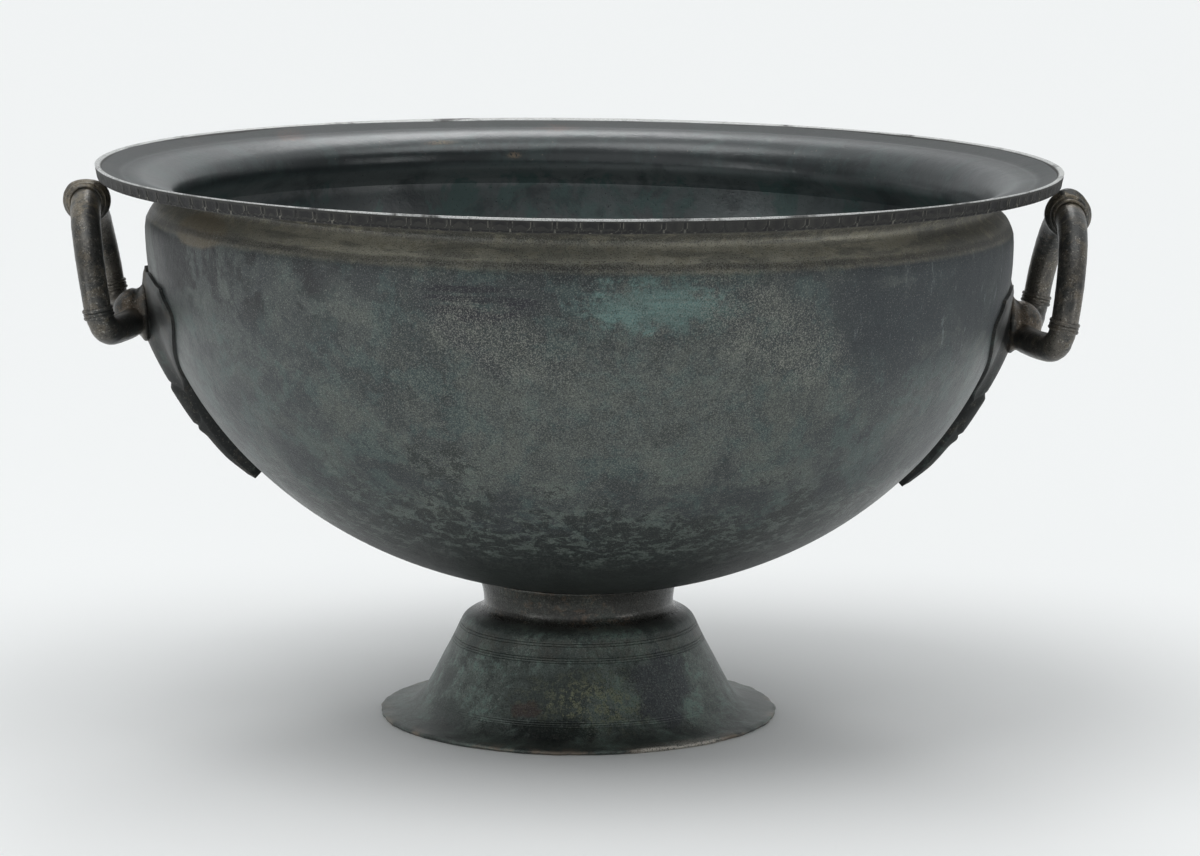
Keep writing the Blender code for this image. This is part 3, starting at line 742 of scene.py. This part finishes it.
def make_loop(run_height):
    """The bar with its crown, hub and flange, fused into one casting, and its fine rings."""
    half = bar_line(run_height)
    path = [(x, -y, z) for x, y, z in half[:0:-1]] + half
    middle = len(half) - 1
    bpy.ops.object.select_all(action="DESELECT")
    bpy.ops.curve.primitive_nurbs_path_add(location=(0, 0, 0))
    bar = bpy.context.object
    bar.data.splines.clear()
    spline = bar.data.splines.new("POLY")
    spline.points.add(len(path) - 1)
    for i, (knot, place) in enumerate(zip(spline.points, path)):
        away = abs(i - middle)
        in_arch = away <= ARCH_STEPS + 4
        knot.co = (*place, 1)
        knot.radius = 0.0084 - 0.00105 * min(away / ARCH_STEPS, 1) if in_arch else 0.0077
    bar.data.bevel_depth = 1.0
    bar.data.bevel_resolution = 8
    bar.data.use_fill_caps = True
    bpy.ops.object.convert(target="MESH")
    crown = turn_on_lathe("crown", smooth_line([
        (0.0, 0.0068), (0.0088, 0.0068), (0.0102, 0.0060), (0.0108, 0.0046), (0.0112, 0.0034),
        (0.0126, 0.0022), (0.0129, 0.0), (0.0126, -0.0022), (0.0112, -0.0034),
        (0.0108, -0.0046), (0.0102, -0.0060), (0.0088, -0.0068), (0.0, -0.0068)], per_span=3),
        steps=48)
    place_ring(crown, half[0], (0, 1, 0))
    hub = turn_on_lathe("hub", smooth_line([
        (0.0, 0.0250), (0.0050, 0.0242), (0.0098, 0.0205), (0.0124, 0.0155), (0.0122, 0.0130),
        (0.0128, 0.0112), (0.0142, 0.0098), (0.0157, 0.0088), (0.0163, 0.0077),
        (0.0160, 0.0062), (0.0140, 0.0055), (0.0130, 0.0), (0.0, -0.001)], per_span=4), steps=48)
    place_ring(hub, HUB_CENTRE, (1, 0, 0))
    loop = join([bar, crown, hub], "loop")
    fuse = loop.modifiers.new("Fuse", "REMESH")
    fuse.mode = "VOXEL"
    fuse.voxel_size = 0.00085
    bpy.ops.object.modifier_apply(modifier="Fuse")
    soften = loop.modifiers.new("Soften", "SMOOTH")
    soften.iterations = 4
    bpy.ops.object.modifier_apply(modifier="Soften")
    ways = [vertex.normal.copy() for vertex in loop.data.vertices]
    for vertex, way in zip(loop.data.vertices, ways):
        vertex.co += way * (0.00018 * waver(vertex.co, 70) + 0.00008 * waver(vertex.co, 300))
        x, y, z = vertex.co
        within_wall = belly_radius_at(min(z, BELLY_HEIGHT)) - 0.0008
        if math.hypot(x, y) < within_wall:
            vertex.co.x *= within_wall / math.hypot(x, y)
            vertex.co.y *= within_wall / math.hypot(x, y)
    bpy.ops.object.shade_smooth()
    rings = []
    for side in (1, -1):
        x, y, z = half[ARCH_STEPS]
        along = Vector(half[ARCH_STEPS + 4]) - Vector(half[ARCH_STEPS - 4])
        along.y *= side
        along.normalize()
        for shift, radius, thickness in ((-0.0019, 0.00725, 0.0011), (0.0, 0.0068, 0.0013),
                                         (0.0018, 0.00725, 0.0011)):
            collar_place = Vector((x, y * side, z)) + along * shift
            rings.append(ring(collar_place, along, radius, thickness))
        for shift, radius in ((0.0092, 0.0086), (0.0052, 0.0101)):
            crown_place = (half[0][0], shift * side, half[0][2] - 0.0002)
            rings.append(ring(crown_place, (0, 1, 0), radius, 0.0009))
    return join([loop] + rings, "loop")


warm = Patina("brown_black_patina", (0.052, 0.053, 0.051))
broad = warm.mottle(30, 6, 0.62, 0.4)
cloud = warm.mottle(110, 5, 0.74, 0.3)
grit = warm.mottle(900, 2, 0.85)
warm.paint((0.112, 0.103, 0.089), (broad * 0.5 + cloud * 0.5).step(0.44, 0.58))
plate = abs(warm.x).step(0.238, 0.230)
warm.paint((0.022, 0.025, 0.025), plate * 0.85)
warm.paint((0.012, 0.014, 0.014), plate * warm.z.step(0.200, 0.165) * 0.8)
warm.paint((0.120, 0.102, 0.076), cloud.step(0.53, 0.60) * (1 - plate * 0.7) * 0.6)
paler_left = warm.x.step(0.1, -0.1) * (1 - plate)
warm.paint((0.125, 0.116, 0.100), paler_left * broad.step(0.40, 0.56) * 0.5)
hub = (1 - abs(warm.y).step(0.012, 0.024)) * (1 - plate) * warm.z.step(0.250, 0.235)
warm.paint((0.110, 0.082, 0.056), hub * cloud.step(0.44, 0.56) * 0.7)
warm.paint((0.060, 0.088, 0.078), warm.mottle(65, 5, 0.7).step(0.56, 0.66) * plate * 0.5)
# The top of the loop, round the crown, is painted a paler warm brown in patches: partly wear,
# partly a painted highlight where the light falls on it.
worn = warm.z.step(0.2745, 0.2830) * cloud.step(0.42, 0.54)
warm.paint((0.200, 0.165, 0.110), worn * 0.6)
bright = grit.step(0.58, 0.68) * cloud.step(0.44, 0.54) * (1 - plate * 0.7)
warm.paint((0.34, 0.33, 0.30), bright * 0.8)
warm.paint((0.010, 0.010, 0.010), grit.step(0.44, 0.34) * 0.75)
rough = (0.22 + 0.20 * grit + 0.12 * cloud + plate * 0.12
         + plate * warm.z.step(0.205, 0.170) * 0.20)
height = broad * 0.8 + cloud * 0.3 + grit * 0.10
warm_finish = warm.close(rough, height, 0.0009, 0.50)
for node, turned, run_height in (("handle_right", False, 0.2110), ("handle_left", True, 0.2133)):
    handle = join([make_loop(run_height), make_leaf()], node + "_casting")
    handle.data.materials.clear()
    handle.data.materials.append(warm_finish)
    if turned:
        handle.data.transform(Matrix.Rotation(math.pi, 4, "Z"))
    settle(handle)
    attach(handle, "root")
    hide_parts(node)


# The studio. A pale, matt floor runs far back. Two broad lights hang overhead in front, a
# sharper one behind, and a low upright box stands at each side; the air glows from above, from
# the back and from the camera's side.
bpy.ops.object.select_all(action="DESELECT")
bpy.ops.mesh.primitive_plane_add(size=60, location=(0, 20, 0))
floor = bpy.context.object
floor.name = "studio_floor"
paper = bpy.data.materials.new("pale_paper")
paper.use_nodes = True
sheet = paper.node_tree.nodes["Principled BSDF"]
sheet.inputs["Base Color"].default_value = (0.86, 0.87, 0.87, 1)
sheet.inputs["Roughness"].default_value = 0.85
sheet.inputs["Specular IOR Level"].default_value = 0.15
floor.data.materials.append(paper)
floor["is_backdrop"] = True


def hang(name, light, place, toward):
    """Hangs a light at place, to shine toward."""
    lamp = bpy.data.objects.new(name, light)
    lamp.location = place
    lamp.rotation_euler = Vector(toward).to_track_quat("-Z", "Y").to_euler()
    bpy.context.scene.collection.objects.link(lamp)


for name, toward, angle, energy in (
        ("left_overhead_light", (0.310, 0.150, -0.940), 0.70, 1.02),
        ("right_overhead_light", (-0.370, 0.170, -0.913), 0.70, 0.66),
        ("back_light", (-0.12, -1, -0.94), 0.26, 0.30)):
    light = bpy.data.lights.new(name, "SUN")
    light.energy = energy
    light.angle = angle
    hang(name, light, (0, 0, 0), toward)
aim = Vector((0, 0, 0.20))
for name, place in (("left_box", (-1.55, -1.05, 0.38)), ("right_box", (1.70, -1.05, 0.38))):
    light = bpy.data.lights.new(name, "AREA")
    light.shape = "RECTANGLE"
    light.size = 0.35
    light.size_y = 0.7
    light.energy = 4
    hang(name, light, place, aim - Vector(place))

world = bpy.data.worlds.new("studio_air")
air = Finish(world)
look_way = air.node("ShaderNodeTexCoord", {}, (), "Generated")


def glow(toward, low, high, strength):
    """Light that comes from one way, smoothly less to its sides."""
    along = air.node("ShaderNodeVectorMath", {"operation": "DOT_PRODUCT"},
                     (look_way, Vector(toward).normalized()), "Value")
    return air.node("ShaderNodeMapRange", {"interpolation_type": "SMOOTHSTEP"},
                    (along, low, high, 0.0, strength))


brightness = (glow((-0.14, 0.10, 1), 0.45, 0.93, 0.16) + glow((0, 1, 0.15), -0.40, 0.60, 0.62)
              + glow((-0.22, -1, 0.00), 0.62, 0.98, 0.70) + 0.045)
background = air.tree.nodes["Background"]
air.tree.links.new(brightness.socket, background.inputs["Strength"])
background.inputs["Color"].default_value = (0.965, 0.99, 1.0, 1)
bpy.context.scene.world = world
bpy.context.scene.view_settings.view_transform = "Standard"

# The camera, at the photograph's height, distance and tilt. Its lens is worked out for an
# image 1200 pixels wide.
yaw = math.radians(2.04)
tilt = 0.16297
distance = 2.41216
eye_height = 0.55377
image_width = 1200
focal_pixels = 4490.85
centre_across = 578.36
camera = bpy.data.cameras.new("studio_camera")
camera.sensor_width = 36
camera.lens = camera.sensor_width * focal_pixels / image_width
camera.shift_x = (image_width / 2 - centre_across) / image_width
camera.clip_end = 200
view = bpy.data.objects.new("studio_camera", camera)
view.location = (-distance * math.sin(yaw), -distance * math.cos(yaw), eye_height)
view.rotation_euler = (math.pi / 2 - tilt, 0, -yaw)
bpy.context.scene.collection.objects.link(view)
bpy.context.scene.camera = view

low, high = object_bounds()
